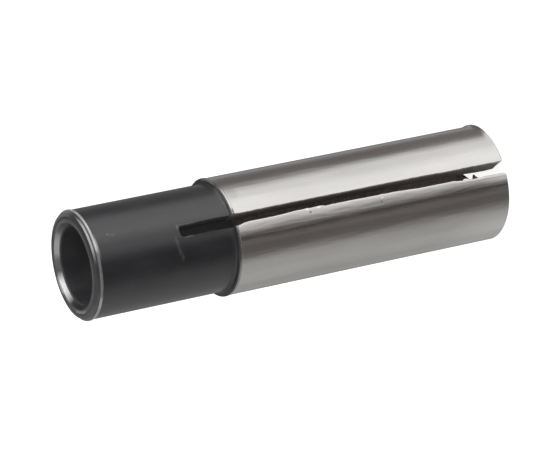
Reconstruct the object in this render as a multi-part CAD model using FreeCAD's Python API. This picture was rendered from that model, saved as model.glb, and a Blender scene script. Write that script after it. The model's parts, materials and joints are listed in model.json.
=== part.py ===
import FreeCAD, Part
import math
import os

from FreeCAD import Vector

# Shank adapter sleeve: a hardened steel reducer, turned and bored in one piece, in millimetres.
# A tool's thin shank slides into the bore at the neck's mouth. The ground shank goes into a
# larger collet, which closes the saw cut and squeezes the bore onto the tool.
# The sleeve stands on its sawn end: the origin is the middle of that end, and +Z runs along
# the axis to the neck's mouth.

# Overall lengths
overall_length = 24.75
neck_length = 8.10

# Turned and ground diameters
shank_diameter = 6.35
neck_diameter = 5.84
bore_diameter = 4.12

# Lip of turned steel that the grinding wheel leaves standing beside the shoulder
lip_length = 0.18
lip_height = 0.03
lip_edge_break = 0.05
shoulder_root_radius = 0.10

# Saw cut through both walls, with the run-out of a slitting saw at its closed end
saw_width = 0.54
saw_depth = 19.80
saw_blade_diameter = 63.0
saw_overrun = 1.0

# Edge breaks at the sawn end
end_outer_break = 0.06
end_bore_break = 0.10

# Neck's mouth: a burr that the chamfer has raised round the neck, the chamfer itself, a flat
# ring, and a countersink that leads into the bore
mouth_burr_height = 0.045
mouth_burr_length = 0.12
mouth_chamfer_width = 0.32
mouth_chamfer_length = 0.24
countersink_width = 0.28
countersink_depth = 0.28

# Places that follow from the sizes above
shank_radius = shank_diameter / 2
neck_radius = neck_diameter / 2
bore_radius = bore_diameter / 2
lip_radius = shank_radius + lip_height
burr_radius = neck_radius + mouth_burr_height
shoulder_height = overall_length - neck_length


def turned_section():
    """Half section of the sleeve in the XZ plane: a closed face beside the axis."""
    lip_start = shoulder_height - lip_length
    chamfer_start = overall_length - mouth_chamfer_length
    burr_start = chamfer_start - mouth_burr_length
    outline = [
        (bore_radius + end_bore_break, 0.0),
        (shank_radius - end_outer_break, 0.0),
        (shank_radius, end_outer_break),
        (shank_radius, lip_start),
        (lip_radius, lip_start + lip_height),
        (lip_radius, shoulder_height - lip_edge_break),
        (lip_radius - lip_edge_break, shoulder_height),
        (neck_radius + shoulder_root_radius, shoulder_height),
    ]
    upper = [
        (neck_radius, shoulder_height + shoulder_root_radius),
        (neck_radius, burr_start),
        (burr_radius, burr_start + mouth_burr_height),
        (burr_radius, chamfer_start),
        (burr_radius - mouth_chamfer_width, overall_length),
        (bore_radius + countersink_width, overall_length),
        (bore_radius, overall_length - countersink_depth),
        (bore_radius, end_bore_break),
    ]
    # The root curves inwards round a centre that lies outside the neck and above the shoulder
    middle = shoulder_root_radius * (1 - math.cos(math.radians(45)))
    root_middle = (neck_radius + middle, shoulder_height + middle)
    lower_points = [Vector(r, 0, z) for r, z in outline]
    upper_points = [Vector(r, 0, z) for r, z in upper]
    root = Part.Arc(lower_points[-1], Vector(root_middle[0], 0, root_middle[1]), upper_points[0])
    edges = [Part.LineSegment(a, b).toShape() for a, b in zip(lower_points, lower_points[1:])]
    edges.append(root.toShape())
    edges += [Part.LineSegment(a, b).toShape() for a, b in zip(upper_points, upper_points[1:])]
    edges.append(Part.LineSegment(upper_points[-1], lower_points[0]).toShape())
    return Part.Face(Part.Wire(edges))


def saw_cut():
    """Slot through both walls along Y, closed by the arc of the saw blade's rim."""
    blade_radius = saw_blade_diameter / 2
    blade_centre = saw_depth - blade_radius
    reach = lip_radius + saw_overrun
    side = -saw_width / 2
    arc_end = blade_centre + math.sqrt(blade_radius ** 2 - reach ** 2)
    low_left = Vector(side, -reach, -saw_overrun)
    low_right = Vector(side, reach, -saw_overrun)
    top_right = Vector(side, reach, arc_end)
    top_left = Vector(side, -reach, arc_end)
    rim = Part.Arc(top_right, Vector(side, 0, saw_depth), top_left)
    edges = [
        Part.LineSegment(low_left, low_right).toShape(),
        Part.LineSegment(low_right, top_right).toShape(),
        rim.toShape(),
        Part.LineSegment(top_left, low_left).toShape(),
    ]
    return Part.Face(Part.Wire(edges)).extrude(Vector(saw_width, 0, 0))


def adapter_sleeve():
    """The turned and bored blank, sawn from the shank's end."""
    blank = turned_section().revolve(Vector(0, 0, 0), Vector(0, 0, 1), 360)
    return blank.cut(saw_cut())


os.makedirs("parts", exist_ok=True)
sleeve = adapter_sleeve()
sleeve.exportStep("parts/adapter_sleeve.step")
print("adapter_sleeve", len(sleeve.Solids), "solid", round(sleeve.Volume, 3), "mm3", sleeve.isValid())
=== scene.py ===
import bmesh
import bpy
import json
import math
import numpy as np
from mathutils import Matrix, Vector

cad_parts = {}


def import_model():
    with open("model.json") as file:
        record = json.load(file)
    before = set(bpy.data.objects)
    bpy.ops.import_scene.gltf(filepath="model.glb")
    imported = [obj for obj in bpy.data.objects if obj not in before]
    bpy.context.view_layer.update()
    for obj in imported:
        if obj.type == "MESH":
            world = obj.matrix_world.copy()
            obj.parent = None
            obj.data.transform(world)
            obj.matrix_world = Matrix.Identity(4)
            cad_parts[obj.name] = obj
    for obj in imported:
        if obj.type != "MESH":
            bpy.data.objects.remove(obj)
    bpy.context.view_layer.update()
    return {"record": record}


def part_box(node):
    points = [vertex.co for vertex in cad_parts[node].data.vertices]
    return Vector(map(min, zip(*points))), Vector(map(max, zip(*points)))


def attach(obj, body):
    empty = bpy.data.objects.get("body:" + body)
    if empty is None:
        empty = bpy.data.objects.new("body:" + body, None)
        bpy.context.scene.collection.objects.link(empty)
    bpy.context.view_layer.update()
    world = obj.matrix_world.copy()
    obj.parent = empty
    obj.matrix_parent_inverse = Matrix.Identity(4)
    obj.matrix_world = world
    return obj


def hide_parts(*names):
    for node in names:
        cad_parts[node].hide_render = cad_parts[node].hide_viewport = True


# Shank adapter sleeve, standing on its sawn end with the neck's mouth up. Metres, +Z up.
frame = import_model()
MM = 0.001

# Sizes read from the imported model
mounts = {mount["name"]: mount for mount in frame["record"]["mounts"]}
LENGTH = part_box("adapter_sleeve")[1][2]
BORE = mounts["tool_bore"]["dims"]["r_mm"] * MM
SHANK = mounts["ground_shank"]["dims"]["r_mm"] * MM

# Sizes repeated from the sleeve's own drawing. NECK and SAW_RADIUS are radii, and RIM_REACH is the
# way from the mouth's face down to the low edge of the burr round it.
NECK = 2.92 * MM
NECK_LENGTH = 8.10 * MM
SHOULDER = LENGTH - NECK_LENGTH
LIP_LENGTH = 0.18 * MM
LIP_HEIGHT = 0.03 * MM
LIP_BREAK = 0.05 * MM
ROOT = 0.10 * MM
SAW_DEPTH = 19.80 * MM
SAW_RADIUS = 31.5 * MM
END_BREAK = 0.06 * MM
END_BORE_BREAK = 0.10 * MM
RIM = 0.045 * MM
RIM_REACH = 0.36 * MM
RIM_LOW = LENGTH - RIM_REACH
CHAMFER_WIDTH = 0.32 * MM

# Sizes that differ from the drawing by a few hundredths of a millimetre, as the photograph shows
SLOT_END_HALF = 0.29 * MM
COUNTERSINK = 0.26 * MM

# Edge roundings, too fine for the drawing: the slot's outer and inner edges, the fingers' corners
# at the sawn end, and the corners of the slot's closed end
EDGE_OUT = 0.055 * MM
EDGE_IN = 0.03 * MM
END_ROUND = 0.16 * MM
SLOT_CORNER = 0.19 * MM

# Width of the black film that runs over the shoulder onto the lip, and the depth below the
# mouth's face to which the countersink can be worn bare
LIP_FILM = 0.055 * MM
COUNTERSINK_BARE = 0.20 * MM

# Heights between which the finishes change into each other: brown steel to grey film in the bore,
# grey film to black film in the bore, and brown to black on the sawn faces
BORE_GREY = (SHOULDER - 2.8 * MM, SHOULDER - 2.3 * MM)
BORE_BLACK = (17.9 * MM, 19.4 * MM)
SAWN_BLACK = (SHOULDER - 0.1 * MM, SHOULDER + 0.1 * MM)

# Places on the turned outline: how far the shoulder leans, how far from the neck and the shoulder
# the middle of the root's curve lies, and the length of neck that leads up to the burr
SHOULDER_LEAN = 0.004 * MM
ROOT_MIDDLE = 0.29 * ROOT
MOUTH_LEAD = 0.08 * MM

# The chamfer's section from the burr's crest inwards: share of its width, and depth below the
# mouth's face in mm. It has a groove and a steep inner wall.
CHAMFER_SECTION = (
    (0.0, 0.225),
    (0.28, 0.185),
    (0.33, 0.155),
    (0.45, 0.050),
    (0.96, 0.006),
    (1.02, 0.0),
)

# Radii in mm at which the corners of the two outlines are rounded, in their order
OUTSIDE_RADII = (0.04, 0.012, 0.01, 0.02, 0.02, 0.02, 0.03, 0.03)
MOUTH_RADII = (0.02, 0.02, 0.03, 0.015, 0.015, 0.02, 0.015, 0.01, 0.035, 0.0, 0.05)

# Half width of the slot at a few heights, both in mm, towards +X and towards -X. The saw
# wandered a little, and the fingers stand slightly open.
SLOT_HALF = {
    1: ((0.0, 0.190), (3.4, 0.203), (4.8, 0.232), (6.4, 0.249), (10.7, 0.250), (13.0, 0.266),
        (16.0, 0.250), (17.2, 0.290)),
    -1: ((0.0, 0.430), (2.0, 0.430), (2.7, 0.408), (3.1, 0.372), (3.4, 0.345), (5.8, 0.312),
         (6.9, 0.255), (10.7, 0.225), (11.1, 0.215), (11.35, 0.190), (13.0, 0.190), (14.2, 0.235),
         (16.0, 0.240), (16.35, 0.34), (16.6, 0.34), (17.2, 0.290)),
}

# Height, half width and depth in mm of the nicks (depth over 0) and burrs (under 0) on the edges
NICKS = {
    1: ((15.1, 0.08, 0.012), (9.4, 0.12, -0.012), (4.2, 0.10, 0.014)),
    -1: (
        (12.30, 0.07, -0.020), (12.05, 0.09, 0.025), (11.55, 0.16, -0.020), (11.12, 0.10, 0.050),
        (7.85, 0.05, -0.045), (7.35, 0.10, 0.015), (5.6, 0.10, 0.015), (3.3, 0.08, -0.02),
        (18.9, 0.15, 0.02),
    ),
}

# Marks on the neck where the film is rubbed through: turn from the slot in degrees, height,
# half width and half height in mm, and how bare the steel is
NECK_MARKS = (
    (-8.3, 19.99, 0.24, 0.090, 0.024),
    (-14.7, 19.94, 0.30, 0.100, 0.020),
    (-20.6, 19.88, 0.20, 0.090, 0.026),
    (-26.9, 19.77, 0.20, 0.090, 0.024),
    (12.5, 23.62, 0.09, 0.09, 0.040),
    (10.8, 23.36, 0.08, 0.12, 0.030),
    (5.3, 19.76, 0.14, 0.05, 0.070),
    (6.3, 19.2, 0.05, 0.50, 0.060),
    (-6.4, 19.2, 0.05, 0.25, 0.060),
)

# Where the film reflects less: painted shade that turns down its reflection in long bands round the
# neck and along the slot's lower edge, in the same way
NECK_PAINTED_SHADE = (
    (-5.5, 20.7, 0.78, 14.0, 0.16),
    (-6.6, 18.1, 0.12, 1.7, 0.16),
    (64.0, 20.7, 0.62, 14.0, 0.20),
)

# Dark pits and long darker marks on the shank, the long ones painted shade over its reflection,
# lighter patches near the sawn end that are painted light, a duller lip and bright ticks on the
# shank, in the same way
# The first four are small pits; the last three, long and soft, are painted shade that darkens the
# shank's reflection beside the slot and towards the lip
SHANK_PITS_AND_PAINTED_SHADE = (
    (-7.8, 12.17, 0.045, 0.07, 0.75),
    (-4.2, 11.09, 0.045, 0.09, 0.50),
    (-11.7, 7.90, 0.05, 0.06, 0.50),
    (28.0, 9.3, 0.04, 0.30, 0.10),
    (-7.0, 8.0, 0.34, 16.0, 0.16),
    (33.0, 14.4, 0.26, 4.2, 0.17),
    (29.0, 16.12, 0.42, 0.34, 0.16),
)
# Painted light: lighter patches at the sawn end that brighten the shank's reflection there
SHANK_PAINTED_LIGHT = (
    (-84.0, 0.0, 1.90, 3.6, 0.85),
    (46.0, 0.0, 0.45, 5.5, 0.35),
)
LIP_DULL = (
    (-58.0, 16.53, 2.60, 0.10, 0.50),
    (-9.0, 16.53, 0.50, 0.12, 0.55),
    (7.6, 16.50, 0.22, 0.06, 0.80),
    (44.0, 16.55, 0.50, 0.08, 0.60),
)
SHANK_TICKS = (
    (-5.1, 12.31, 0.04, 0.07, 0.80),
    (-4.9, 11.64, 0.05, 0.12, 0.60),
    (-8.1, 7.80, 0.05, 0.07, 0.60),
)

# Bands where the black film is worn to bare steel, partly real wear and partly painted highlights
# that brighten the rings round the mouth at chosen turns: low and high height from the mouth's face,
# least and greatest radius, all in mm, turns from and to in degrees from the slot, soft turn, and
# share
BARE_AND_HIGHLIGHT_BANDS = (
    (-0.345, -0.195, 2.93, 4.0, -400, 400, 1, 0.14),
    (-0.345, -0.195, 2.93, 4.0, -4, 200, 12, 0.45),
    (-0.345, -0.195, 2.93, 4.0, -200, -51, 18, 0.34),
    (-0.430, -0.300, 2.90, 4.0, -6, 12, 18, 0.30),
    (-0.200, 0.002, 2.66, 4.0, -200, -62, 14, 0.05),
    (-0.200, 0.010, 2.42, 2.56, -124, -92, 14, 0.20),
    (-0.150, -0.045, 2.78, 4.0, -8, 40, 24, 0.34),
    (-0.200, 0.010, 2.50, 4.0, -400, 400, 1, 0.022),
    (-0.200, 0.010, 2.30, 2.50, -400, 400, 1, 0.055),
    (-0.200, 0.010, 2.63, 4.0, 60, 122, 30, 0.12),
    (-0.200, 0.010, 2.34, 2.46, 60, 122, 30, 0.09),
    (-0.200, 0.010, 2.28, 2.50, 177, 180, 8, 0.60),
    (-0.200, 0.010, 2.28, 2.50, -180, -162, 10, 0.80),
    (-8.20, -7.95, 2.90, 4.0, -400, 400, 1, 0.014),
    (-8.14, -8.05, 2.96, 4.0, 16, 44, 12, 0.09),
    (-8.14, -8.05, 2.96, 4.0, 0, 16, 12, 0.05),
    (-8.07, -7.90, 2.90, 4.0, 16, 44, 12, 0.030),
    (-8.14, -8.05, 3.04, 4.0, 46, 74, 8, 0.16),
)

# How bare the countersink is at a few turns from the slot in degrees, with straight runs between
COUNTERSINK_BARE_AT = (
    (-180, 0.42), (-172, 0.62), (-162, 0.76), (-150, 0.68), (-143, 0.28), (-137, 0.02), (-113, 0.0),
    (-90, 0.00), (60, 0.01), (87, 0.01), (107, 0.09), (127, 0.36), (145, 0.28), (155, 0.10),
    (170, 0.05), (180, 0.42),
)

# Small burrs pushed out of or into the edges of the sawn end: turn from the slot and half turn in
# degrees, height, half height, least radius (outer edge) or greatest radius (bore), and push away
# from the axis, in mm. Each grows to its full push over BURR_RISE of radius.
BURR_RISE = 0.2
END_BURRS = (
    (60.0, 32.0, 0.0, 0.16, 2.95, 0.110),
    (-6.0, 8.0, 0.0, 1.30, 2.95, -0.022),
)
BORE_BURRS = (
    (151.5, 11.0, 0.0, 0.13, 2.30, -0.62),
    (149.0, 3.2, 0.0, 0.12, 2.30, -0.66),
)

# Chips and flakes on the inner edges of the front slot, as NICKS has them
INNER_CHIPS = {
    1: ((0.9, 1.3, -0.085),),
    -1: ((1.40, 0.17, -0.50),),
}

# How far the countersink is off centre, which way in degrees from the slot, and the radius within
# which the mouth moves with it
COUNTERSINK_SHIFT = 0.02 * MM
COUNTERSINK_SHIFT_TURN = 188.0
COUNTERSINK_SHIFT_REACH = 2.60 * MM

# Finishes, in the order of the sleeve's material slots
GROUND, BLACK, EDGE, SAWN, INSIDE = range(5)

# Mesh density: counts of faces, and lengths of faces along the sleeve. END_ROWS are the shares of
# END_ROUND at which rows lie above the sawn end.
FINGER_STEPS = 96
STRIP_STEPS = 16
EDGE_STEPS = 4
WALL_STEPS = 6
SHANK_STEP = 0.19 * MM
FINE_STEP = 0.08 * MM
FINE_TOP = 2.2 * MM
NECK_STEP = 0.16 * MM
BORE_STEP = 0.25 * MM
MOUTH_STEP = 0.07 * MM
END_ROWS = (0.03, 0.1, 0.2, 0.37, 0.65, 1.0)

# A row within ROW_GAP of a radius or a height counts as on it. Points closer than WELD are made
# one, edges shorter than SHORTEST are taken out, and faces that meet at more than SHARP_TURN
# degrees are shaded with a sharp edge.
ROW_GAP = 0.02 * MM
WELD = 0.0004 * MM
SHORTEST = 0.0001 * MM
SHARP_TURN = 40.0

# At the slot's closed end the edges' wear fades out over WEAR_FADE below its corners, and the rows
# above it straighten over STRIP_FADE. Outline points within CORNER_GAP of the corners are left out.
WEAR_FADE = 0.5 * MM
STRIP_FADE = 0.8 * MM
CORNER_GAP = 0.03 * MM

# Camera, fitted to the outline of the sleeve in the photograph
PHOTO_WIDTH = 539
FOCAL_PIXELS = 3276.0
CAMERA_TURN = -12.8
CAMERA_OUT = 157.686 * MM
CAMERA_UP = 89.835 * MM
AIM_SIDE = -0.456 * MM
AIM_UP = 13.262 * MM
CAMERA_ROLL = -101.730
SENSOR = 36.0

# Light tent round the sleeve, in a lower and an upper ring. Each panel is painted over the ones
# before it, from one turn to another in degrees from the camera, with a soft edge that wide, a
# brightness and a tint.
TENT_RADIUS = 0.42
TENT_LOW = -1.2
TENT_HIGH = 2.5
WHITE = (1.0, 0.997, 0.985)
PALE = (1.0, 1.0, 0.985)
WARM = (1.10, 1.0, 0.98)
LOWER_PANELS = (
    ("walls", -400, 400, 1, 0.78, PALE),
    ("back wall", 153, 400, 24, 0.21, PALE),
    ("left wall", -400, -122, 24, 0.62, PALE),
    ("far left wall", -400, -158, 30, 0.25, PALE),
    ("left card", -110, -84, 24, 0.86, PALE),
    ("left flag", -56, 0, 24, 0.22, WARM),
    ("grey gap", -32, -20, 8, 0.17, WARM),
    ("bright gap", -28, -20, 6, 0.34, WARM),
    ("black edge", -18, -10, 6, 0.05, WARM),
    ("softbox", 5.5, 92, 22, 2.15, WHITE),
    ("softbox edge", 66, 92, 16, 1.70, WHITE),
    ("right flag", 100, 144, 26, 0.26, WARM),
)
UPPER_PANELS = (
    ("walls", -400, 400, 1, 0.36, PALE),
    ("softbox", 22, 96, 24, 2.2, WHITE),
    ("right flag", 112, 200, 18, 0.14, WARM),
    ("left flag", -30, 12, 24, 0.16, WARM),
    ("left card", -105, -60, 24, 0.90, PALE),
)

# Soft lamps: name, turn in degrees from the camera, height, distance from the axis and side in
# metres, and power in watts
SOFTBOXES = (
    ("key_softbox", 50.0, 0.45, 0.40, 0.35, 3.0),
    ("fill_softbox", -80.0, 0.35, 0.45, 0.40, 1.2),
)

# Floor: half its side in metres, the glow it has for the camera, its paint as the camera sees it,
# which shows the shadow, and its paint for other light. WORLD_FILL is the world's strength as a
# light.
FLOOR_HALF = 1.0
FLOOR_GLOW = 0.92
FLOOR_SHADED = (0.25, 0.25, 0.25)
FLOOR_PLAIN = (0.8, 0.8, 0.8)
WORLD_FILL = 0.7


def smooth_step(t):
    """A curve from 0 to 1 that starts and ends level: three t squared less two t cubed."""
    t = np.clip(t, 0.0, 1.0)
    return t * t * (3.0 - 2.0 * t)


def round_corners(points, radii, steps=3):
    """An outline whose corners are parabolas, each from its radius before the corner to its
    radius after it: (1 - t) squared of the start, twice t times (1 - t) of the corner and t
    squared of the end."""
    points = np.asarray(points, float)
    made = [points[:1]]
    for before, corner, after, radius in zip(points, points[1:], points[2:], radii):
        back = before - corner
        ahead = after - corner
        reach_back = min(radius, 0.45 * np.linalg.norm(back))
        reach_ahead = min(radius, 0.45 * np.linalg.norm(ahead))
        start = corner + back / np.linalg.norm(back) * reach_back
        end = corner + ahead / np.linalg.norm(ahead) * reach_ahead
        t = np.linspace(0.0, 1.0, steps + 1)[:, None]
        made.append((1 - t) ** 2 * start + 2 * t * (1 - t) * corner + t ** 2 * end)
    made.append(points[-1:])
    return np.vstack(made)


def divide(points, longest):
    """The same outline with its long runs cut into equal lengths of at most longest."""
    runs = np.linalg.norm(np.diff(points, axis=0), axis=1)
    made = [points[:1]]
    for start, end, run in zip(points, points[1:], runs):
        count = max(1, int(math.ceil(run / longest)))
        t = np.linspace(0.0, 1.0, count + 1)[1:, None]
        made.append(start + (end - start) * t)
    return np.vstack(made)


def outside_profile():
    """Radius and height from the sawn end's outer edge up the shank, over the lip and shoulder,
    and up the neck to the bevel, with a fine row beside every corner."""
    lip_start = SHOULDER - LIP_LENGTH
    foot = SHOULDER + SHOULDER_LEAN
    points = [
        (SHANK - END_BREAK, 0.0),
        (SHANK, END_BREAK),
        (SHANK, lip_start),
        (SHANK + LIP_HEIGHT, lip_start + LIP_HEIGHT),
        (SHANK + LIP_HEIGHT, SHOULDER - LIP_BREAK),
        (SHANK + LIP_HEIGHT - LIP_BREAK, SHOULDER),
        (NECK + ROOT, foot),
        (NECK + ROOT_MIDDLE, foot + ROOT_MIDDLE),
        (NECK, foot + ROOT),
        (NECK, RIM_LOW - MOUTH_LEAD),
    ]
    return round_corners(points, np.array(OUTSIDE_RADII) * MM)


def mouth_profile():
    """The burr that the chamfer has raised, the chamfer with its groove and its steep inner wall,
    the flat ring, and the countersink that leads into the bore."""
    crest = NECK + RIM
    points = [
        (NECK, RIM_LOW - MOUTH_LEAD),
        (NECK, RIM_LOW),
        (crest, RIM_LOW + RIM),
        *[(crest - share * CHAMFER_WIDTH, LENGTH - low * MM) for share, low in CHAMFER_SECTION],
        (BORE + COUNTERSINK, LENGTH),
        (BORE + COUNTERSINK - COUNTERSINK_BARE, LENGTH - COUNTERSINK_BARE),
        (BORE, LENGTH - COUNTERSINK),
        (BORE, LENGTH - COUNTERSINK - 0.3 * MM),
    ]
    return divide(round_corners(points, np.array(MOUTH_RADII) * MM)[1:], MOUTH_STEP)


def slot_end_height(y, offset):
    """Height of the slot's closed end at distance y from the axis: the rim of the saw blade."""
    return SAW_DEPTH - SAW_RADIUS + np.sqrt(SAW_RADIUS ** 2 - y ** 2) + offset


def slot_half(z, side):
    """Half width of the slot at height z, towards +X or -X: straight runs between the heights
    that SLOT_HALF names."""
    heights, halves = np.array(SLOT_HALF[side]).T
    return np.interp(z / MM, heights, halves) * MM


def edge_wear(z, side, edge):
    """How far a slot edge is worn or torn away at height z: a waviness of three sines, a few
    thousandths of a millimetre high, and the edge's nicks or burrs, each a bell curve of its own
    height, width and depth."""
    mm = z / MM
    wave = 0.004 * np.sin(2.1 * mm + 3.0 * side) + 0.003 * np.sin(5.3 * mm + 1.7 * side)
    wave += 0.0025 * np.sin(11.9 * mm + 2.0 + side)
    nicks = {"outer": NICKS, "front inner": INNER_CHIPS}.get(edge, {})
    for height, width, depth in nicks.get(side, ()):
        wave = wave + depth * np.exp(-(((mm - height) / width) ** 2))
    return wave * MM


def end_rounding(z):
    """A quarter round of END_ROUND where a finger's sawn side meets the end face."""
    t = np.clip((END_ROUND - z) / END_ROUND, 0.0, 1.0)
    return END_ROUND * (1.0 - np.sqrt(1.0 - t ** 2))


def skin_rows():
    """Profile of the whole skin, from the sawn end's outer edge, round the mouth, and down the
    bore to the sawn end again. Returns rows of radius and height, the radius of the slot edge's
    rounding at each row, and the two row numbers at which the slot's closed end begins, outside
    and inside."""
    corner_out = slot_end_height(NECK, -SLOT_CORNER)
    corner_in = slot_end_height(BORE, -SLOT_CORNER)
    rough = outside_profile()
    end_rows = END_ROUND * np.array(END_ROWS)
    end_rows = np.append(end_rows, np.arange(END_ROUND + FINE_STEP, FINE_TOP, FINE_STEP))
    low = np.column_stack([np.minimum(SHANK, SHANK - END_BREAK + end_rows), end_rows])
    rough = np.vstack([rough[:1], low, rough[rough[:, 1] > FINE_TOP]])
    below = rough[rough[:, 1] < corner_out - CORNER_GAP]
    lower = divide(np.vstack([below, [(NECK, corner_out)]]), SHANK_STEP)
    top_start = RIM_LOW - MOUTH_LEAD
    upper = divide(np.array([(NECK, corner_out), (NECK, top_start)]), NECK_STEP)[1:]
    mouth = mouth_profile()
    bore_top = mouth[-1, 1]
    bore_upper = divide(np.array([(BORE, bore_top), (BORE, corner_in)]), BORE_STEP)[1:]
    heights = lower[:, 1] * (corner_in / corner_out)
    widen = np.clip((END_BORE_BREAK - heights) / END_BORE_BREAK, 0.0, 1.0) * END_BORE_BREAK
    bore_lower = np.column_stack([BORE + widen, heights])[::-1]
    profile = np.vstack([lower, upper, mouth, bore_upper, bore_lower[1:]])
    first_in = len(profile) - len(lower)
    first_out = len(lower) - 1
    inwards = (np.arange(len(profile)) - first_out) / (first_in - first_out)
    offset = EDGE_OUT + (EDGE_IN - EDGE_OUT) * np.clip(inwards, 0.0, 1.0)
    return profile, offset, first_out, first_in


def on_circle(x, radius, sign):
    """The point on a circle of that radius, at x, towards -Y or +Y."""
    return sign * np.sqrt(np.maximum(radius ** 2 - x ** 2, 0.0))


def edge_x(profile, offset, first_out, first_in, side, sign):
    """Distance of a finger's edge from the slot's middle plane, for each row of the skin. The
    back slot's outer edges are worn as the front slot's, turned half round the axis."""
    z = profile[:, 1]
    half = slot_half(z, side) + offset
    rows = np.arange(len(profile))
    slotted = (rows <= first_out) | (rows >= first_in)
    hand = side * (1 if sign < 0 else -1)
    inner = "front inner" if sign < 0 else "back inner"
    worn = np.where(rows <= first_out, edge_wear(z, hand, "outer"), edge_wear(z, hand, inner))
    fade = smooth_step((slot_end_height(NECK, -SLOT_CORNER) - z) / WEAR_FADE)
    half = half + np.where(slotted, worn * fade + end_rounding(z), 0.0)
    return half


def finger_skin(profile, offset, first_out, first_in, side):
    """Half of the skin: a grid of rows along the profile and columns round the axis, from the
    slot edge at -Y to the slot edge at +Y, on the side of +X or -X."""
    front = edge_x(profile, offset, first_out, first_in, side, -1)
    back = edge_x(profile, offset, first_out, first_in, side, 1)
    radius = profile[:, 0]
    start = -math.pi / 2 + np.arcsin(front / radius)
    end = math.pi / 2 - np.arcsin(back / radius)
    u = np.linspace(0.0, 1.0, FINGER_STEPS + 1)
    angle = start[:, None] + (end - start)[:, None] * u
    x = side * radius[:, None] * np.cos(angle)
    y = radius[:, None] * np.sin(angle)
    z = np.broadcast_to(profile[:, 1:2], x.shape)
    return np.stack([x, y, z], -1)


def strip_skin(profile, offset, first_out, first_in, sign):
    """The strip of skin above the closed end of one slot, between the two fingers: rows along
    the profile, of which the first and last follow the rounded end of the slot, and the rows next
    to them straighten along a smooth curve. Columns stand closer at the sides, as sines do."""
    rows = profile[first_out:first_in + 1]
    half = SLOT_END_HALF + offset[first_out:first_in + 1]
    t = np.linspace(-1.0, 1.0, STRIP_STEPS + 1)
    x = half[:, None] * np.sin(t * math.pi / 2)
    y = on_circle(x, rows[:, 0][:, None], sign)
    z = np.repeat(rows[:, 1][:, None], STRIP_STEPS + 1, 1)
    for row, radius in ((0, NECK), (-1, BORE)):
        edge = half[row] - SLOT_END_HALF
        corner = SLOT_CORNER + edge
        into = np.clip(np.abs(x[row]) - (half[row] - corner), 0.0, corner)
        lift = np.sqrt(corner ** 2 - into ** 2)
        lift += slot_end_height(y[row], 0.0) - slot_end_height(y[row][0], 0.0)
        near = np.abs(rows[:, 0] - radius) < ROW_GAP
        fade = np.where(near, 1.0 - smooth_step((z[:, 0] - z[row, 0]) / STRIP_FADE), 0.0)
        z = z + fade[:, None] * lift
    return np.stack([x, y, z], -1)


def slot_walls(outer, inner):
    """The sawn faces of one slot: from each point of the outer edge to the matching point of the
    inner edge, with a quarter round at each edge and a flat face between, which leans towards a
    torn inner edge with the cube of its depth. outer and inner are the two edges as rows of
    x, y, z with the radius of their rounding, and outer has its direction to the slot's middle."""
    (out_points, out_offset, toward), (in_points, in_offset) = outer, inner
    a = np.linspace(0.0, math.pi / 2, EDGE_STEPS + 1)
    depth_out = np.outer(out_offset, 1.0 - np.cos(a))
    shift_out = np.outer(out_offset, np.sin(a))
    thick = np.abs(out_points[:, 1] - in_points[:, 1])
    depth_in = thick[:, None] - np.outer(in_offset, 1.0 - np.cos(a[::-1]))
    shift_in = np.outer(in_offset, np.sin(a[::-1]))
    t = np.linspace(0.0, 1.0, WALL_STEPS + 1)[1:-1]
    flat = depth_out[:, -1:] + (depth_in[:, :1] - depth_out[:, -1:]) * t
    depth = np.hstack([depth_out, flat, depth_in])
    share = depth / thick[:, None]
    y = out_points[:, None, 1] + (in_points - out_points)[:, None, 1] * share
    out_full = out_points[:, None, :] + toward[:, None, :] * out_offset[:, None, None]
    in_full = in_points[:, None, :] + toward[:, None, :] * in_offset[:, None, None]
    full = out_full + (in_full - out_full) * share[..., None]
    full[..., 0] = out_full[..., 0] + (in_full - out_full)[..., 0] * share ** 3
    moved = np.zeros(depth.shape)
    moved[:, :EDGE_STEPS + 1] = shift_out / np.maximum(out_offset[:, None], 1e-12)
    moved[:, EDGE_STEPS + 1:EDGE_STEPS + len(t) + 1] = 1.0
    moved[:, -EDGE_STEPS - 1:] = shift_in / np.maximum(in_offset[:, None], 1e-12)
    edge_line = np.where(share[..., None] < 0.5, out_points[:, None, :], in_points[:, None, :])
    x = edge_line[..., 0] + (full[..., 0] - edge_line[..., 0]) * moved
    z = edge_line[..., 2] + (full[..., 2] - edge_line[..., 2]) * moved
    return np.stack([x, y, z], -1)


def slot_path(skin_right, skin_left, strip, row_from, row_to, strip_row, column):
    """The U-shaped edge of a slot on one skin, up one finger, across the closed end and down the
    other finger, with the direction towards the slot's middle at each point. The bore's rows,
    whose strip_row is the last, run down the sleeve, so they are turned round first."""
    right = skin_right[row_from:row_to + 1, column]
    left = skin_left[row_from:row_to + 1, column]
    if strip_row == -1:
        right = right[::-1]
        left = left[::-1]
    across = strip[strip_row][::-1]
    path = np.vstack([right, across[1:-1], left[::-1]])
    toward = np.zeros_like(path)
    count = len(right)
    toward[:count, 0] = -1.0
    toward[-count:, 0] = 1.0
    half = np.abs(across[0, 0])
    corner = SLOT_CORNER + half - SLOT_END_HALF
    x = across[1:-1, 0]
    into = np.clip(np.abs(x) - (half - corner), 0.0, corner) * np.sign(x)
    toward[count:-count, 0] = -into / corner
    toward[count:-count, 2] = -np.sqrt(np.maximum(1.0 - (into / corner) ** 2, 0.0))
    return path, toward


def grid_faces(rows, columns, start):
    """Quads of a grid of rows by columns points, numbered from start."""
    index = np.arange(rows * columns).reshape(rows, columns) + start
    quads = np.stack([index[:-1, :-1], index[:-1, 1:], index[1:, 1:], index[1:, :-1]], -1)
    return quads.reshape(-1, 4)


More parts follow.
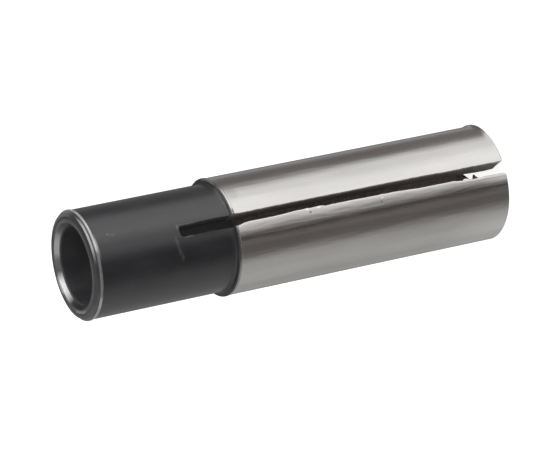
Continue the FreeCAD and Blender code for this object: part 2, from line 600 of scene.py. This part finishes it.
def skin_finish(profile, first_in):
    """Finish of each run of the skin's profile: ground steel up to the lip, a rubbed lip, the bore's
    own finish, and black film on the rest. The break at the sawn end also gets the black film, as
    painted shade that darkens its reflection."""
    radius, z = (profile[1:] + profile[:-1]).T / 2
    run = np.arange(len(z))
    finish = np.full(len(z), BLACK)
    finish[z < SHOULDER - LIP_FILM] = EDGE
    finish[z < SHOULDER - LIP_LENGTH - ROW_GAP] = GROUND
    # painted shade: the sawn end's outer break is given the black film to darken its reflection
    finish[z < 0.8 * END_BREAK] = BLACK
    deep = (radius < BORE + COUNTERSINK - COUNTERSINK_BARE) & (z < LENGTH - COUNTERSINK_BARE)
    finish[deep | (run >= first_in)] = INSIDE
    return finish


def wall_finish(path):
    """Finish of each face of a slot's wall: an outer edge that is rubbed on the shank and black
    on the neck, the sawn face, and black film on the inner edge."""
    z = (path[1:, 2] + path[:-1, 2]) / 2
    finish = np.full((len(z), 2 * EDGE_STEPS + WALL_STEPS), SAWN)
    finish[:, :EDGE_STEPS] = np.where(z < SHOULDER - LIP_FILM, EDGE, BLACK)[:, None]
    finish[:, -EDGE_STEPS:] = BLACK
    return finish


def around(turn, start, end, soft):
    """A share of 1 from one turn to another, in degrees, with smooth ends of that soft width."""
    rise = smooth_step((turn - start) / soft + 0.5)
    return rise * smooth_step((end - turn) / soft + 0.5)


def turn_from_slot(points):
    """Degrees round the axis from the front slot, over 0 towards +X."""
    return np.degrees(np.arctan2(points[:, 0], -points[:, 1]))


def push_burrs(points):
    """The points with the small burrs pushed along the radius, each a bell curve in turn and
    height times a smooth rise over BURR_RISE of radius, and the countersink set a little off
    centre."""
    radius = np.hypot(points[:, 0], points[:, 1])
    turn = turn_from_slot(points)
    push = np.zeros(len(points))
    for burrs, outside in ((END_BURRS, True), (BORE_BURRS, False)):
        for middle, half_turn, height, half_height, limit, depth in burrs:
            inward = (radius / MM - limit) if outside else (limit - radius / MM)
            share = smooth_step(inward / BURR_RISE)
            share = share * np.exp(-((turn - middle) / half_turn) ** 2)
            push += depth * MM * share * np.exp(-((points[:, 2] / MM - height) / half_height) ** 2)
    made = points * np.column_stack([1 + push / radius, 1 + push / radius, np.ones(len(points))])
    way = math.radians(COUNTERSINK_SHIFT_TURN)
    share = smooth_step((points[:, 2] - LENGTH + COUNTERSINK) / COUNTERSINK)
    share = share * smooth_step((COUNTERSINK_SHIFT_REACH - radius) / (BURR_RISE * MM))
    made[:, 0] += COUNTERSINK_SHIFT * share * math.sin(way)
    made[:, 1] -= COUNTERSINK_SHIFT * share * math.cos(way)
    return made


def bare_and_highlight_share(points):
    """How far the black film is worn away at each point, or bared as a painted highlight: the bands
    round the mouth and the shoulder, and the upper part of the countersink."""
    radius = np.hypot(points[:, 0], points[:, 1]) / MM
    height = (points[:, 2] - LENGTH) / MM
    turn = turn_from_slot(points)
    share = np.zeros(len(points))
    for low, high, least, greatest, start, end, soft, level in BARE_AND_HIGHLIGHT_BANDS:
        band = (height > low) & (height < high) & (radius > least) & (radius < greatest)
        share = np.maximum(share, band * around(turn, start, end, soft) * level)
    cone = (radius < (BORE + COUNTERSINK) / MM + 0.03) & (height > -COUNTERSINK_BARE / MM - 0.005)
    turns, shares = np.array(COUNTERSINK_BARE_AT).T
    return np.maximum(share, cone * np.interp(turn, turns, shares))


def end_face(front, back, side):
    """The sawn end of one finger: a grid between the lowest rows of its front and back slot
    walls. Its angle round the axis and its radius both run evenly from front to back."""
    near = np.hypot(front[:, 0], front[:, 1])
    far = np.hypot(back[:, 0], back[:, 1])
    start = np.arctan2(front[:, 1], side * front[:, 0])
    end = np.arctan2(back[:, 1], side * back[:, 0])
    u = np.linspace(0.0, 1.0, FINGER_STEPS + 1)
    angle = start[:, None] + (end - start)[:, None] * u
    radius = near[:, None] + (far - near)[:, None] * u
    x = side * radius * np.cos(angle)
    return np.stack([x, radius * np.sin(angle), np.zeros_like(x)], -1)


def sleeve_grids():
    """Every surface of the sleeve as a grid of points with the finish of its faces: two fingers'
    skins, two strips above the slots, the slots' walls and the fingers' ends."""
    profile, offset, first_out, first_in = skin_rows()
    skins = {side: finger_skin(profile, offset, first_out, first_in, side) for side in (1, -1)}
    strips = {sign: strip_skin(profile, offset, first_out, first_in, sign) for sign in (-1, 1)}
    last = len(profile) - 1
    skin_kind = skin_finish(profile, first_in)[:, None]
    strip_kind = skin_kind[first_out:first_in]
    grids = [(skins[side], skin_kind) for side in (1, -1)]
    grids += [(strips[sign], strip_kind) for sign in (-1, 1)]
    walls = {}
    for sign, column in ((-1, 0), (1, -1)):
        out_path, out_toward = slot_path(skins[1], skins[-1], strips[sign], 0, first_out, 0, column)
        in_path, _ = slot_path(skins[1], skins[-1], strips[sign], first_in, last, -1, column)
        outer = (out_path, np.full(len(out_path), EDGE_OUT), out_toward)
        walls[sign] = slot_walls(outer, (in_path, np.full(len(in_path), EDGE_IN)))
        grids.append((walls[sign], wall_finish(out_path)))
    for side, row in ((1, 0), (-1, -1)):
        grids.append((end_face(walls[-1][row], walls[1][row], side), GROUND))
    return grids


def sleeve_mesh(name):
    """All grids of the sleeve put together, welded where they meet, with normals outwards. Each face
    carries its finish, and each point how bare its steel is, painted highlights round the mouth
    included."""
    points, quads, kinds, count = [], [], [], 0
    for grid, kind in sleeve_grids():
        rows, columns = grid.shape[:2]
        points.append(grid.reshape(-1, 3))
        quads.append(grid_faces(rows, columns, count))
        kinds.append(np.broadcast_to(kind, (rows - 1, columns - 1)).ravel())
        count += rows * columns
    mesh = bpy.data.meshes.new(name)
    points = np.vstack(points)
    mesh.from_pydata(push_burrs(points), [], np.vstack(quads))
    mesh.polygons.foreach_set("material_index", np.concatenate(kinds).astype(np.int32))
    # the bare share holds worn film and, in some bands round the mouth, painted highlights
    mesh.attributes.new("bare", "FLOAT", "POINT").data.foreach_set("value", bare_and_highlight_share(points))
    build = bmesh.new()
    build.from_mesh(mesh)
    bmesh.ops.remove_doubles(build, verts=build.verts, dist=WELD)
    bmesh.ops.dissolve_degenerate(build, edges=build.edges, dist=SHORTEST)
    bmesh.ops.recalc_face_normals(build, faces=build.faces)
    loose = [edge for edge in build.edges if not edge.is_manifold]
    print("sleeve mesh", len(build.faces), "faces,", len(loose), "open edges")
    build.to_mesh(mesh)
    build.free()
    return mesh


def wrap_uv(mesh):
    """A UV map in millimetres: round the axis along U, from 0 at the front slot and over 0
    towards +X, and along V the height plus how far the point lies inside the shank's radius."""
    layer = mesh.uv_layers.new(name="wrap")
    corners = np.empty(len(mesh.loops), np.int32)
    mesh.loops.foreach_get("vertex_index", corners)
    points = np.empty(len(mesh.vertices) * 3)
    mesh.vertices.foreach_get("co", points)
    points = points.reshape(-1, 3)[corners]
    starts = np.empty(len(mesh.polygons), np.int32)
    mesh.polygons.foreach_get("loop_start", starts)
    totals = np.empty(len(mesh.polygons), np.int32)
    mesh.polygons.foreach_get("loop_total", totals)
    turn = np.arctan2(points[:, 0], -points[:, 1])
    first = np.repeat(turn[starts], totals)
    turn = turn + 2 * math.pi * np.round((first - turn) / (2 * math.pi))
    radius = np.hypot(points[:, 0], points[:, 1])
    uv = np.column_stack([turn * SHANK / MM, (points[:, 2] + SHANK - radius) / MM])
    layer.data.foreach_set("uv", uv.ravel())


class Nodes:
    """Short hand for the nodes of one material."""

    def __init__(self, name):
        self.material = bpy.data.materials.new(name)
        self.material.use_nodes = True
        self.tree = self.material.node_tree
        self.shader = self.tree.nodes["Principled BSDF"]
        self.object = self.add("ShaderNodeTexCoord").outputs["Object"]
        self.normal = None

    def add(self, kind, **values):
        node = self.tree.nodes.new(kind)
        for key, value in values.items():
            setattr(node, key, value)
        return node

    def link(self, source, target):
        self.tree.links.new(source, target)

    def noise(self, scale, detail, rough=0.5):
        """Noise whose grain is scale grains in a metre along X, Y and Z."""
        move = self.add("ShaderNodeMapping")
        move.inputs["Scale"].default_value = scale
        self.link(self.object, move.inputs["Vector"])
        node = self.add("ShaderNodeTexNoise")
        node.inputs["Scale"].default_value = 1.0
        node.inputs["Detail"].default_value = detail
        node.inputs["Roughness"].default_value = rough
        self.link(move.outputs["Vector"], node.inputs["Vector"])
        return node.outputs["Fac"]

    def spread(self, value, low, high, to_low=0.0, to_high=1.0):
        """value from low to high made to_low to to_high, and held there beyond."""
        node = self.add("ShaderNodeMapRange")
        node.inputs["From Min"].default_value = low
        node.inputs["From Max"].default_value = high
        node.inputs["To Min"].default_value = to_low
        node.inputs["To Max"].default_value = to_high
        self.link(value, node.inputs["Value"])
        return node.outputs["Result"]

    def combine(self, first, second, operation="ADD"):
        """Two values, or a value and a number, added up or put together by another operation."""
        node = self.add("ShaderNodeMath", operation=operation)
        for socket, value in zip(node.inputs, (first, second)):
            if isinstance(value, (int, float)):
                socket.default_value = value
            else:
                self.link(value, socket)
        return node.outputs[0]

    def mix(self, factor, first, second):
        """A colour between two colours."""
        node = self.add("ShaderNodeMix", data_type="RGBA")
        self.link(factor, node.inputs["Factor"])
        for socket, value in zip((node.inputs[6], node.inputs[7]), (first, second)):
            if isinstance(value, tuple):
                socket.default_value = (*value, 1.0)
            else:
                self.link(value, socket)
        return node.outputs[2]

    def rise(self, low, high):
        """A share that grows from 0 to 1 between two heights on the sleeve."""
        parts = self.add("ShaderNodeSeparateXYZ")
        self.link(self.object, parts.inputs[0])
        return self.spread(parts.outputs["Z"], low, high)

    def bump(self, height, distance):
        """Relief of that distance in metres, laid over the relief that is there already."""
        node = self.add("ShaderNodeBump")
        node.inputs["Strength"].default_value = 1.0
        node.inputs["Distance"].default_value = distance
        self.link(height, node.inputs["Height"])
        if self.normal:
            self.link(self.normal, node.inputs["Normal"])
        self.normal = node.outputs["Normal"]
        self.link(self.normal, self.shader.inputs["Normal"])

    def marks(self, marks, rise=0.0):
        """Soft oval marks on the wrap map, each from its turn in degrees, its height, half
        width and half height in mm and its share, added up. A mark has its full share within
        half of its size and ends at 1.3 times its size. rise lifts them on a thinner part."""
        place = self.add("ShaderNodeUVMap", uv_map="wrap").outputs["UV"]
        total = 0.0
        for turn, height, wide, high, share in marks:
            move = self.add("ShaderNodeMapping")
            u = math.radians(turn) * SHANK / MM
            move.inputs["Location"].default_value = (-u / wide, -(height + rise / MM) / high, 0.0)
            move.inputs["Scale"].default_value = (1.0 / wide, 1.0 / high, 0.0)
            self.link(place, move.inputs["Vector"])
            far = self.add("ShaderNodeVectorMath", operation="LENGTH")
            self.link(move.outputs["Vector"], far.inputs[0])
            total = self.combine(total, self.spread(far.outputs["Value"], 0.5, 1.3, share, 0.0))
        return total

    def set(self, **values):
        """Plain values of the shader's inputs, named with low lines for their spaces."""
        for key, value in values.items():
            self.shader.inputs[key.replace("_", " ")].default_value = value


def ground_steel():
    """Cylindrically ground steel: fine rings round the axis, faint streaks and waves along it, a
    reflection that is drawn out by the rings, lighter patches near the sawn end that are painted
    light, pits, long darker marks that are painted shade over the reflection, and ticks."""
    steel = Nodes("ground_steel")
    rings = steel.noise((220.0, 220.0, 30000.0), 4.0, 0.6)
    streaks = steel.noise((1500.0, 1500.0, 110.0), 3.0)
    patches = steel.noise((320.0, 320.0, 200.0), 3.0)
    steel.set(Metallic=1.0, Anisotropic=0.65, Anisotropic_Rotation=0.25)
    base = steel.mix(steel.spread(patches, 0.35, 0.65), (0.345, 0.338, 0.330), (0.370, 0.364, 0.356))
    colour = steel.mix(steel.spread(streaks, 0.40, 0.75, 0.0, 0.45), base, (0.42, 0.405, 0.395))
    # painted light: the shank's colour lifted near the sawn end
    colour = steel.mix(steel.marks(SHANK_PAINTED_LIGHT), colour, (0.49, 0.48, 0.47))
    # real pits, and painted shade over the shank's reflection
    colour = steel.mix(steel.marks(SHANK_PITS_AND_PAINTED_SHADE), colour, (0.06, 0.055, 0.052))
    colour = steel.mix(steel.marks(SHANK_TICKS), colour, (0.56, 0.555, 0.55))
    steel.link(colour, steel.shader.inputs["Base Color"])
    steel.link(steel.spread(rings, 0.3, 0.7, 0.255, 0.268), steel.shader.inputs["Roughness"])
    steel.bump(rings, 0.00000006)
    steel.bump(steel.noise((1100.0, 1100.0, 170.0), 3.0), 0.00003)
    tangent = steel.add("ShaderNodeTangent", direction_type="UV_MAP", uv_map="wrap")
    steel.link(tangent.outputs["Tangent"], steel.shader.inputs["Tangent"])
    return steel.material


def black_oxide():
    """Satin black oxide on turned steel: fine turning rings, a soft cloudiness, duller patches that
    are painted shade on its reflection, and bare steel where the film is worn or rubbed through,
    which in some bands round the mouth is a painted highlight."""
    black = Nodes("black_oxide")
    rings = black.noise((180.0, 180.0, 22000.0), 3.0, 0.6)
    cloud = black.noise((800.0, 800.0, 480.0), 4.0)
    specks = black.noise((4300.0, 4300.0, 3100.0), 2.0)
    rub = black.noise((1500.0, 1500.0, 2600.0), 4.0, 0.6)
    clouded = black.spread(cloud, 0.35, 0.65)
    film = black.mix(clouded, (0.0040, 0.0041, 0.0058), (0.0080, 0.0083, 0.0106))
    film = black.mix(black.spread(specks, 0.70, 0.80, 0.0, 0.25), film, (0.05, 0.05, 0.052))
    # bare steel from wear, and in some bands round the mouth painted highlights
    worn = black.add("ShaderNodeAttribute", attribute_name="bare").outputs["Fac"]
    worn = black.combine(worn, black.spread(rub, 0.30, 0.60, 0.70, 1.0), "MULTIPLY")
    worn = black.combine(worn, black.marks(NECK_MARKS, SHANK - NECK))
    black.link(black.mix(worn, film, (0.75, 0.745, 0.735)), black.shader.inputs["Base Color"])
    black.link(worn, black.shader.inputs["Metallic"])
    black.set(IOR=1.55)
    # painted shade: the film's reflection is turned down in these marks
    dull = black.marks(NECK_PAINTED_SHADE, SHANK - NECK)
    black.link(black.combine(0.5, dull, "SUBTRACT"), black.shader.inputs["Specular IOR Level"])
    black.link(black.spread(cloud, 0.3, 0.7, 0.32, 0.36), black.shader.inputs["Roughness"])
    black.bump(rings, 0.0000006)
    return black.material


def rubbed_edge():
    """Bare steel on the shank's slot edges and on the lip, brighter and duller in spots, with dark
    patches on the lip."""
    edge = Nodes("rubbed_edge")
    rub = edge.noise((900.0, 900.0, 2600.0), 4.0, 0.6)
    edge.set(Metallic=1.0)
    colour = edge.mix(edge.spread(rub, 0.35, 0.65), (0.36, 0.355, 0.35), (0.54, 0.53, 0.52))
    colour = edge.mix(edge.marks(LIP_DULL), colour, (0.03, 0.03, 0.03))
    edge.link(colour, edge.shader.inputs["Base Color"])
    edge.link(edge.spread(rub, 0.3, 0.7, 0.22, 0.34), edge.shader.inputs["Roughness"])
    edge.bump(rub, 0.000002)
    return edge.material


def sawn_steel():
    """Dull brownish faces of the saw cut with fine saw lines along the slot, black in the neck."""
    sawn = Nodes("sawn_steel")
    lines = sawn.noise((9000.0, 12000.0, 260.0), 3.0, 0.6)
    sawn.set(IOR=1.45)
    colour = sawn.mix(sawn.spread(lines, 0.35, 0.7), (0.095, 0.083, 0.080), (0.21, 0.188, 0.183))
    share = sawn.rise(*SAWN_BLACK)
    sawn.link(sawn.mix(share, colour, (0.060, 0.060, 0.061)), sawn.shader.inputs["Base Color"])
    sawn.link(sawn.spread(lines, 0.3, 0.7, 0.5, 0.62), sawn.shader.inputs["Roughness"])
    sawn.bump(lines, 0.0000006)
    return sawn.material


def bore_steel():
    """The bore's wall from the mouth down: black film with faint scratches, which gives way to a
    dull grey round the slot's closed end, and brownish steel inside the shank."""
    bore = Nodes("bore_steel")
    cloud = bore.noise((900.0, 900.0, 500.0), 4.0)
    scratches = bore.noise((5200.0, 5200.0, 1100.0), 2.0)
    lines = bore.noise((3200.0, 3200.0, 9000.0), 3.0)
    film = bore.mix(bore.spread(cloud, 0.35, 0.65), (0.020, 0.020, 0.022), (0.032, 0.032, 0.034))
    film = bore.mix(bore.spread(scratches, 0.70, 0.80, 0.0, 0.5), film, (0.12, 0.12, 0.12))
    dull = bore.mix(bore.spread(cloud, 0.35, 0.65), (0.24, 0.24, 0.242), (0.32, 0.32, 0.322))
    steel = bore.mix(bore.spread(lines, 0.35, 0.65), (0.50, 0.442, 0.424), (0.62, 0.558, 0.54))
    dark = bore.mix(bore.rise(*BORE_BLACK), dull, film)
    bore.link(bore.mix(bore.rise(*BORE_GREY), steel, dark), bore.shader.inputs["Base Color"])
    bore.set(IOR=1.45)
    bore.link(bore.spread(cloud, 0.3, 0.7, 0.50, 0.60), bore.shader.inputs["Roughness"])
    bore.bump(cloud, 0.000002)
    return bore.material


def adapter_sleeve():
    """The whole sleeve as one closed mesh in the place of its CAD solid."""
    mesh = sleeve_mesh("sleeve_body")
    wrap_uv(mesh)
    for material in (ground_steel(), black_oxide(), rubbed_edge(), sawn_steel(), bore_steel()):
        mesh.materials.append(material)
    mesh.shade_smooth()
    mesh.set_sharp_from_angle(angle=math.radians(SHARP_TURN))
    sleeve = bpy.data.objects.new("sleeve_body", mesh)
    bpy.context.scene.collection.objects.link(sleeve)
    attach(sleeve, "root")
    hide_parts("adapter_sleeve")
    return sleeve


def emission(name, strength):
    """A material that only glows, white."""
    material = bpy.data.materials.new(name)
    material.use_nodes = True
    tree = material.node_tree
    tree.nodes.clear()
    glow = tree.nodes.new("ShaderNodeEmission")
    glow.inputs["Strength"].default_value = strength
    out = tree.nodes.new("ShaderNodeOutputMaterial")
    tree.links.new(glow.outputs[0], out.inputs["Surface"])
    return material, tree, glow


def tent_ring(name, panels, low, high):
    """One ring of the light tent, whose panels are brighter or darker, as the sleeve mirrors
    them. Each panel is painted over the last with soft edges: its share rises along a smooth
    curve at one end and falls along the same curve at the other. It shows only in reflections."""
    turns = np.linspace(-180.0, 180.0, 721)
    paint = np.zeros((len(turns), 4))
    for _, start, end, soft, level, tint in panels:
        share = around(turns, start, end, soft)
        paint += share[:, None] * (np.array([*tint, 1.0]) * level - paint)
    azimuth = np.radians(turns + CAMERA_TURN - 90.0)
    x = TENT_RADIUS * np.cos(azimuth)
    y = TENT_RADIUS * np.sin(azimuth)
    points = np.stack([np.stack([x, y, np.full_like(x, z)], -1) for z in (low, high)])
    mesh = bpy.data.meshes.new(name)
    mesh.from_pydata(points.reshape(-1, 3), [], grid_faces(2, len(turns), 0))
    attribute = mesh.attributes.new("panel", "FLOAT_COLOR", "POINT")
    attribute.data.foreach_set("color", np.vstack([paint, paint]).ravel())
    material, tree, glow = emission(name, 1.0)
    read = tree.nodes.new("ShaderNodeAttribute")
    read.attribute_name = "panel"
    tree.links.new(read.outputs["Color"], glow.inputs["Color"])
    mesh.materials.append(material)
    tent = bpy.data.objects.new(name, mesh)
    bpy.context.scene.collection.objects.link(tent)
    tent.visible_camera = False
    tent.visible_diffuse = False
    tent.visible_shadow = False


def floor():
    """A pale floor that shows white to the camera and keeps a soft shadow."""
    corners = ((-1.0, -1.0), (1.0, -1.0), (1.0, 1.0), (-1.0, 1.0))
    mesh = bpy.data.meshes.new("floor")
    mesh.from_pydata([(x * FLOOR_HALF, y * FLOOR_HALF, 0.0) for x, y in corners], [], [(0, 1, 2, 3)])
    material, tree, glow = emission("pale_floor", FLOOR_GLOW)
    out = tree.nodes["Material Output"]
    paint = tree.nodes.new("ShaderNodeBsdfDiffuse")
    paint.inputs["Color"].default_value = (*FLOOR_SHADED, 1.0)
    both = tree.nodes.new("ShaderNodeAddShader")
    plain = tree.nodes.new("ShaderNodeBsdfDiffuse")
    plain.inputs["Color"].default_value = (*FLOOR_PLAIN, 1.0)
    path = tree.nodes.new("ShaderNodeLightPath")
    mix = tree.nodes.new("ShaderNodeMixShader")
    seen = tree.nodes.new("ShaderNodeMath")
    seen.operation = "MAXIMUM"
    tree.links.new(path.outputs["Is Camera Ray"], seen.inputs[0])
    tree.links.new(path.outputs["Is Transmission Ray"], seen.inputs[1])
    tree.links.new(glow.outputs[0], both.inputs[0])
    tree.links.new(paint.outputs[0], both.inputs[1])
    tree.links.new(seen.outputs[0], mix.inputs["Fac"])
    tree.links.new(plain.outputs[0], mix.inputs[1])
    tree.links.new(both.outputs[0], mix.inputs[2])
    tree.links.new(mix.outputs[0], out.inputs["Surface"])
    mesh.materials.append(material)
    ground = bpy.data.objects.new("floor", mesh)
    bpy.context.scene.collection.objects.link(ground)
    ground.visible_glossy = False


def world():
    """White where the camera and reflections look past everything, and a plain grey fill light."""
    made = bpy.data.worlds.new("studio")
    bpy.context.scene.world = made
    made.use_nodes = True
    tree = made.node_tree
    back = tree.nodes["Background"]
    path = tree.nodes.new("ShaderNodeLightPath")
    seen = tree.nodes.new("ShaderNodeMath")
    seen.operation = "MAXIMUM"
    passed = tree.nodes.new("ShaderNodeMath")
    passed.operation = "MAXIMUM"
    level = tree.nodes.new("ShaderNodeMapRange")
    level.inputs["To Min"].default_value = WORLD_FILL
    level.inputs["To Max"].default_value = 1.0
    tree.links.new(path.outputs["Is Camera Ray"], seen.inputs[0])
    tree.links.new(path.outputs["Is Glossy Ray"], seen.inputs[1])
    tree.links.new(seen.outputs[0], passed.inputs[0])
    tree.links.new(path.outputs["Is Transmission Ray"], passed.inputs[1])
    tree.links.new(passed.outputs[0], level.inputs["Value"])
    tree.links.new(level.outputs["Result"], back.inputs["Strength"])
    back.inputs["Color"].default_value = (1.0, 1.0, 1.0, 1.0)


def softbox(name, turn, height, distance, size, power):
    """A square soft lamp, turned that many degrees round from the camera and facing the sleeve."""
    lamp = bpy.data.lights.new(name, "AREA")
    lamp.shape = "SQUARE"
    lamp.size = size
    lamp.energy = power
    holder = bpy.data.objects.new(name, lamp)
    azimuth = math.radians(turn + CAMERA_TURN - 90.0)
    holder.location = (distance * math.cos(azimuth), distance * math.sin(azimuth), height)
    aim = Vector((0.0, 0.0, LENGTH / 2)) - holder.location
    holder.rotation_euler = aim.to_track_quat("-Z", "Y").to_euler()
    holder.visible_glossy = False
    bpy.context.scene.collection.objects.link(holder)


def camera():
    """The photograph's view: the camera looks down on the standing sleeve and is rolled over, so
    that the sleeve lies across the picture."""
    turn = Matrix.Rotation(math.radians(CAMERA_TURN - 90.0), 3, "Z")
    place = Vector((CAMERA_OUT, 0.0, CAMERA_UP))
    ahead = (Vector((0.0, AIM_SIDE, AIM_UP)) - place).normalized()
    right = ahead.cross(Vector((0.0, 0.0, 1.0))).normalized()
    up = right.cross(ahead)
    roll = math.radians(CAMERA_ROLL)
    rolled_right = math.cos(roll) * right + math.sin(roll) * up
    rolled_up = -math.sin(roll) * right + math.cos(roll) * up
    axes = Matrix((rolled_right, rolled_up, -ahead)).transposed()
    lens = bpy.data.cameras.new("camera")
    lens.sensor_width = SENSOR
    lens.lens = FOCAL_PIXELS * SENSOR / PHOTO_WIDTH
    lens.clip_start = 0.01
    lens.clip_end = 10.0
    body = bpy.data.objects.new("camera", lens)
    body.matrix_world = Matrix.Translation(turn @ place) @ (turn @ axes).to_4x4()
    bpy.context.scene.collection.objects.link(body)
    bpy.context.scene.camera = body


bpy.context.scene.view_settings.view_transform = "Standard"
camera()
world()
floor()
tent_ring("lower_tent", LOWER_PANELS, TENT_LOW, 0.0)
tent_ring("upper_tent", UPPER_PANELS, 0.0, TENT_HIGH)
for lamp_sizes in SOFTBOXES:
    softbox(*lamp_sizes)
adapter_sleeve()
